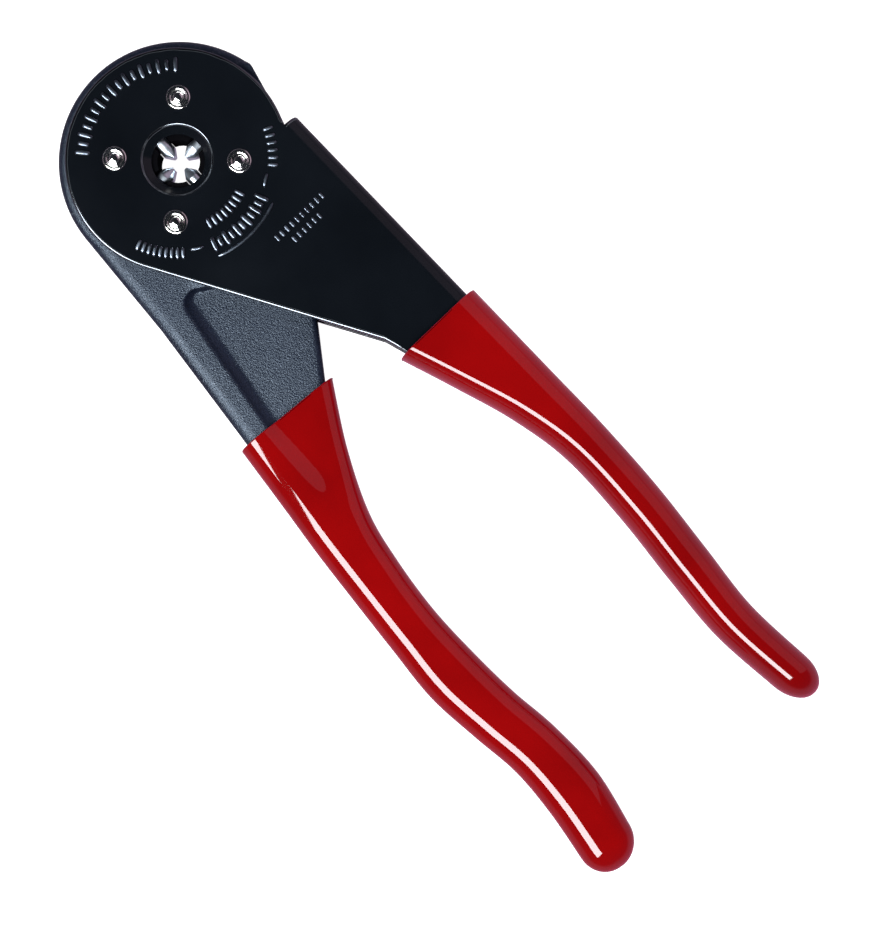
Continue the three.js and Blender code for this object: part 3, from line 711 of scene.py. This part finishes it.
forged = finish("forged_black", (0.0034, 0.0052, 0.0112), (0.1, 0.11, 0.125), (0.26, 0.36), bump=1.0, bump_mm=0.2,
                rub_amount=0.4, grain_sizes=(3600, 2000, 0.4, 60), patch=2600, speckle=0.85, contrast=0.75,
                constants={"Specular IOR Level": 0.5, "Specular Tint": (0.7, 0.85, 1.0, 1)})
for piece in (lever_ring, lever_arm):
    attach(piece, "lever")
    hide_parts("lever")
    piece.data.materials.append(forged)

# ---- Grips ----
# Red vinyl sleeves, formed by dipping the warm handles: glossy, soft at the corners, about 2 mm thick,
# with a cut mouth and a domed end. The frame's sleeve is square and deep, and the lever's is rounder and
# sinks beside the rib. Clear gloss and a soft sheen stand in for light inside the vinyl, and a faint red
# glow is painted over the whole sleeve, lifting its shaded sides though the vinyl is no lamp.
STAND = 2.25                           # how far a sleeve stands off the steel's rails
FRAME_OUTER = [(76.3, 29.9), (92, 29.9), (108, 29.9), (125, 29.9), (146, 29.0), (166, 27.0), (185, 25.1),
               (204.5, 26.2)]
FRAME_INNER = [(76.3, 8.2), (92, 13.5), (108, 18.4), (125, 21.3), (146, 20.8), (166, 18.9), (185, 17.6),
               (204.5, 19.2)]
ARM_OUTER = LEVER_OUTER + [(113, -44.0), (129, -45.6), (145, -47.0), (160, -45.9), (174, -44.5),
                           (188, -45.4), (202.5, -47.8)]
ARM_INNER = LEVER_INNER + [(113, -33.0), (129, -35.1), (145, -35.4), (159, -34.9), (173, -33.5),
                           (189, -33.7), (204, -37.0)]
POWER = 2.35                           # how square the sections are: 2 is an ellipse


def bulge(distance, radius):
    """From 0 at an edge to 1 at a radius in from it, along a superellipse quarter."""
    return (1 - (1 - np.clip(distance / radius, 0, 1)) ** POWER) ** (1 / POWER)


def sleeve(name, outer, inner, deep, outer_r, inner_r, tip, sink, body, node):
    """Sections laid across two rails, each a soft oblong whose height falls away towards both edges.

    The rings run from a wall inside the mouth, out over its cut face, along the rails and over a domed end.
    sink(x, a) lowers the top at a place x along the tool and a from the outer edge.
    """
    rail_a, rail_b = smooth_through(outer, 34), smooth_through(inner, 34)
    centre, across = (rail_a + rail_b) / 2, (rail_a - rail_b) / 2
    half = np.linalg.norm(across, axis=1)[:, None]
    across = across / half * (half + STAND)
    half = np.linalg.norm(across, axis=1)
    step = np.arange(49) / 48
    v = (1 - np.cos(np.pi * step)) / 2
    a, b = v[None, :] * 2 * half[:, None], (1 - v[None, :]) * 2 * half[:, None]
    share_along = np.linspace(0, 1, len(half))
    blend_out, blend_in = (np.interp(share_along, *r)[:, None] for r in (outer_r, inner_r))
    plan = centre[:, None, :] + across[:, None, :] * (1 - 2 * v[None, :, None])
    top = (deep - sink(plan[..., 0], a)) * bulge(a, blend_out) * bulge(b, blend_in)
    rings = np.concatenate([np.dstack([plan, top]), np.dstack([plan[:, -2:0:-1], -top[:, -2:0:-1]])], 1)
    ahead = centre[-1] - centre[-2]
    ahead = np.r_[ahead / np.linalg.norm(ahead) * tip, 0]
    middle = np.r_[centre[-1], 0]
    dome = [middle + ahead * np.sin(t) + (rings[-1] - middle) * np.cos(t)
            for t in np.radians(np.linspace(6, 89.7, 22))]
    into = np.r_[across[0][1], -across[0][0], 0] / np.linalg.norm(across[0])
    into = into if into[0] > 0 else -into
    hub = np.r_[centre[0], 0]
    spokes = rings[0] - hub
    reach_in = np.linalg.norm(spokes, axis=1)[:, None]
    mouth = []       # each ring's place in from the cut face, and in from the skin
    for back, shrink in ((1.5, 2.0), (0.35, 2.0), (0.1, 1.85), (0.0, 1.6), (0.0, 0.45), (0.12, 0.13)):
        mouth.append(hub + spokes * (1 - shrink / reach_in) + into * back)
    body_rings = rings.copy()
    body_rings[0] = rings[0] + into * 0.42
    piece = skin(name, np.concatenate([np.stack(mouth), body_rings, np.stack(dome)]))
    piece.data.set_sharp_from_angle(angle=np.radians(60))
    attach(piece, body)
    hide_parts(node)
    return piece


def ease(t):
    """From 0 to 1, level at both ends."""
    t = np.clip(t, 0, 1)
    return t * t * (3 - 2 * t)


def no_sink(x, a):
    """A level top."""
    return 0 * x


PANEL_DEPTH, PANEL_RIB = 2.1, 7.4      # how deep the panel is, and how wide the rib left beside it
PANEL_FADE, FADE_RUN = 82, 19          # where it begins to fade out, and over what length


def hollow_sink(x, a):
    """The sunken panel: full depth past the rib at the mouth, spreading and fading out along the grip."""
    depth = PANEL_DEPTH * (1 - ease((x - PANEL_FADE) / FADE_RUN))
    return depth * ease((a - PANEL_RIB) / np.interp(x, [65, 84], [4.6, 8.2]))


frame_sleeve = sleeve("frame_sleeve", FRAME_OUTER, FRAME_INNER, 9.0, ([0, 1], [7.4, 5.9]),
                      ([0, 0.3, 1], [5.0, 6.0, 6.2]), 8.55, no_sink, "frame", "frame_grip")
arm_sleeve = sleeve("arm_sleeve", ARM_OUTER, ARM_INNER, 6.3, ([0, 1], [6.4, 6.7]),
                    ([0, 0.25, 0.5, 1], [6.2, 6.4, 6.6, 6.6]), 7.8, hollow_sink, "lever", "lever_grip")
# The emission is a painted glow: faint red light painted over the sleeves so that their shaded sides stay bright
# and red.
vinyl = finish("red_vinyl", (0.118, 0.0008, 0.0006), (0.11, 0.0008, 0.0006), (0.3, 0.4), bump=0.1, bump_mm=0.05,
               grain_sizes=(900, 160, 0.8, 40),
               constants={"Specular IOR Level": 0.0, "Coat Weight": 1.0, "Coat Roughness": 0.035, "Coat IOR": 1.5,
                          "Sheen Weight": 0.22, "Sheen Roughness": 0.4, "Sheen Tint": (1.0, 0.02, 0.2, 1),
                          "Emission Color": (1.0, 0.0, 0.02, 1), "Emission Strength": 0.035})
for piece in (frame_sleeve, arm_sleeve):
    piece.data.materials.append(vinyl)
